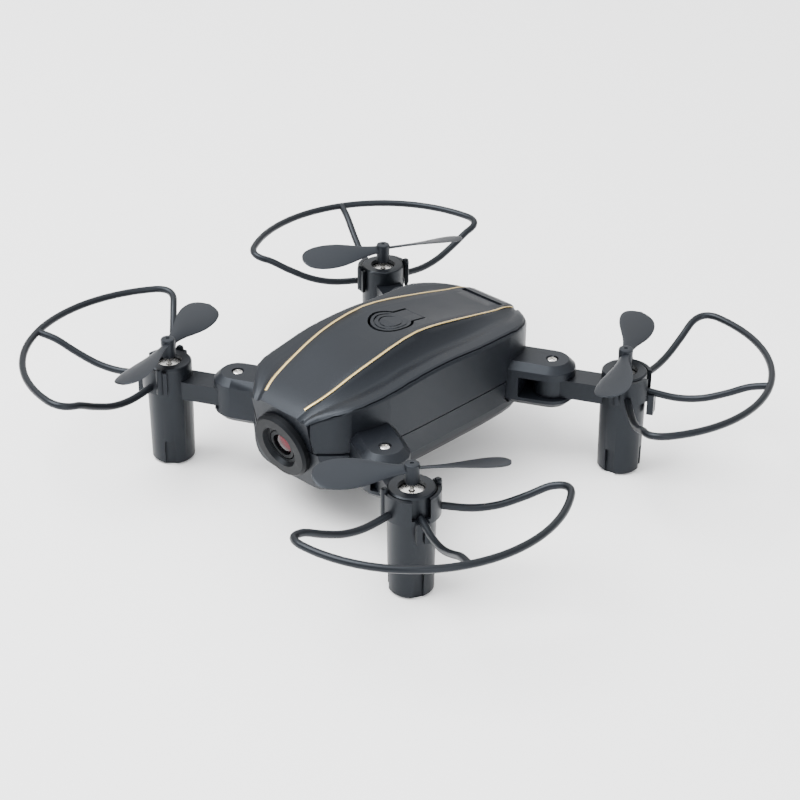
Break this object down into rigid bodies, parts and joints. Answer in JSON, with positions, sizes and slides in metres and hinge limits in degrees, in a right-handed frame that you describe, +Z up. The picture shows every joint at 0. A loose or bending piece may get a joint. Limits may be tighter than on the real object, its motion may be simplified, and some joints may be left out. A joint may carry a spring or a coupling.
{
  "type": "folding mini quadcopter",
  "caption": "Palm-size quadcopter with folding arms, motor pods that serve as legs, spinning propellers, clip-on propeller guards and a nose camera.",
  "frame": {"origin": "on the surface the four motor pods stand on, midway between the four arm hinges", "axes": "+Z up, -Y towards the nose and its camera, +X towards the craft's left side"},
  "size_m": [0.1598, 0.1518, 0.042],
  "materials": {
    "shell_black": "satin charcoal black",
    "bezel_black": "semi-gloss black",
    "arm_black": "satin black",
    "propeller_black": "satin black, slightly flexible",
    "steel": "bright",
    "lens_glass": "dark coated",
    "circuit_board": "solder mask green",
    "battery_foil": "foil pouch"
  },
  "bodies": {
    "body": {"upper_shell": "shell_black", "middle_frame": "shell_black", "lower_shell": "shell_black", "camera_bezel": "bezel_black", "camera_barrel": "bezel_black", "camera_lens": "lens_glass", "camera_board": "circuit_board", "main_board": "circuit_board", "battery": "battery_foil", "tact_switch": "arm_black", "hinge_screw_front_left": "steel", "board_screw_front_left": "steel", "belly_screw_front_left": "steel", "hinge_screw_front_right": "steel", "board_screw_front_right": "steel", "belly_screw_front_right": "steel", "hinge_screw_rear_left": "steel", "board_screw_rear_left": "steel", "belly_screw_rear_left": "steel", "hinge_screw_rear_right": "steel", "board_screw_rear_right": "steel", "belly_screw_rear_right": "steel"},
    "arm_front_left": {"arm_front_left": "arm_black", "motor_front_left": "steel", "pod_cap_front_left": "arm_black"},
    "guard_front_left": {"prop_guard_front_left": "arm_black"},
    "rotor_front_left": {"motor_rotor_front_left": "steel"},
    "propeller_front_left": {"propeller_front_left": "propeller_black"},
    "arm_front_right": {"arm_front_right": "arm_black", "motor_front_right": "steel", "pod_cap_front_right": "arm_black"},
    "guard_front_right": {"prop_guard_front_right": "arm_black"},
    "rotor_front_right": {"motor_rotor_front_right": "steel"},
    "propeller_front_right": {"propeller_front_right": "propeller_black"},
    "arm_rear_left": {"arm_rear_left": "arm_black", "motor_rear_left": "steel", "pod_cap_rear_left": "arm_black"},
    "guard_rear_left": {"prop_guard_rear_left": "arm_black"},
    "rotor_rear_left": {"motor_rotor_rear_left": "steel"},
    "propeller_rear_left": {"propeller_rear_left": "propeller_black"},
    "arm_rear_right": {"arm_rear_right": "arm_black", "motor_rear_right": "steel", "pod_cap_rear_right": "arm_black"},
    "guard_rear_right": {"prop_guard_rear_right": "arm_black"},
    "rotor_rear_right": {"motor_rotor_rear_right": "steel"},
    "propeller_rear_right": {"propeller_rear_right": "propeller_black"},
    "button": {"power_button": "shell_black"}
  },
  "joints": [
    {"name": "fold_front_left", "type": "hinge", "parent": "body", "child": "arm_front_left", "pos_m": [0.0259, -0.0303, 0.0215], "axis": [0, 0, 1], "range_deg": [0, 98]},
    {"name": "guard_slide_front_left", "type": "slide", "parent": "arm_front_left", "child": "guard_front_left", "axis": [0, 0, -1], "range_m": [0, 0.038]},
    {"name": "spin_front_left", "type": "hinge", "parent": "arm_front_left", "child": "rotor_front_left", "pos_m": [0.0427, -0.0386, 0.03], "axis": [0, 0, 1], "continuous": true},
    {"name": "blade_park_front_left", "type": "hinge", "parent": "rotor_front_left", "child": "propeller_front_left", "pos_m": [0.0427, -0.0386, 0.0325], "axis": [0, 0, 1], "range_deg": [-86, 0]},
    {"name": "fold_front_right", "type": "hinge", "parent": "body", "child": "arm_front_right", "pos_m": [-0.0259, -0.0303, 0.0215], "axis": [0, 0, -1], "range_deg": [0, 98]},
    {"name": "guard_slide_front_right", "type": "slide", "parent": "arm_front_right", "child": "guard_front_right", "axis": [0, 0, -1], "range_m": [0, 0.056]},
    {"name": "spin_front_right", "type": "hinge", "parent": "arm_front_right", "child": "rotor_front_right", "pos_m": [-0.0427, -0.0386, 0.03], "axis": [0, 0, 1], "continuous": true},
    {"name": "blade_park_front_right", "type": "hinge", "parent": "rotor_front_right", "child": "propeller_front_right", "pos_m": [-0.0427, -0.0386, 0.0325], "axis": [0, 0, 1], "range_deg": [0, 102]},
    {"name": "fold_rear_left", "type": "hinge", "parent": "body", "child": "arm_rear_left", "pos_m": [0.0259, 0.0303, 0.0215], "axis": [0, 0, -1], "range_deg": [0, 98]},
    {"name": "guard_slide_rear_left", "type": "slide", "parent": "arm_rear_left", "child": "guard_rear_left", "axis": [0, 0, -1], "range_m": [0, 0.056]},
    {"name": "spin_rear_left", "type": "hinge", "parent": "arm_rear_left", "child": "rotor_rear_left", "pos_m": [0.0427, 0.0386, 0.03], "axis": [0, 0, 1], "continuous": true},
    {"name": "blade_park_rear_left", "type": "hinge", "parent": "rotor_rear_left", "child": "propeller_rear_left", "pos_m": [0.0427, 0.0386, 0.0325], "axis": [0, 0, 1], "range_deg": [0, 45]},
    {"name": "fold_rear_right", "type": "hinge", "parent": "body", "child": "arm_rear_right", "pos_m": [-0.0259, 0.0303, 0.0215], "axis": [0, 0, 1], "range_deg": [0, 98]},
    {"name": "guard_slide_rear_right", "type": "slide", "parent": "arm_rear_right", "child": "guard_rear_right", "axis": [0, 0, -1], "range_m": [0, 0.038]},
    {"name": "spin_rear_right", "type": "hinge", "parent": "arm_rear_right", "child": "rotor_rear_right", "pos_m": [-0.0427, 0.0386, 0.03], "axis": [0, 0, 1], "continuous": true},
    {"name": "blade_park_rear_right", "type": "hinge", "parent": "rotor_rear_right", "child": "propeller_rear_right", "pos_m": [-0.0427, 0.0386, 0.0325], "axis": [0, 0, 1], "range_deg": [-47, 0]},
    {"name": "power_press", "type": "hinge", "parent": "body", "child": "button", "pos_m": [0, 0.0066, 0.0399], "axis": [1, 0, 0], "range_deg": [0, 5], "stiffness_Nm_per_rad": 0.1}
  ],
  "couplings": [
    {"joint": "guard_slide_front_left", "follows": "fold_front_left", "m_per_rad": 0.0222},
    {"joint": "blade_park_front_left", "follows": "fold_front_left", "ratio": -0.87551},
    {"joint": "guard_slide_front_right", "follows": "fold_front_right", "m_per_rad": 0.0327},
    {"joint": "blade_park_front_right", "follows": "fold_front_right", "ratio": 1.0347},
    {"joint": "guard_slide_rear_left", "follows": "fold_rear_left", "m_per_rad": 0.0327},
    {"joint": "blade_park_rear_left", "follows": "fold_rear_left", "ratio": 0.45},
    {"joint": "guard_slide_rear_right", "follows": "fold_rear_right", "m_per_rad": 0.0222},
    {"joint": "blade_park_rear_right", "follows": "fold_rear_right", "ratio": -0.47245}
  ]
}
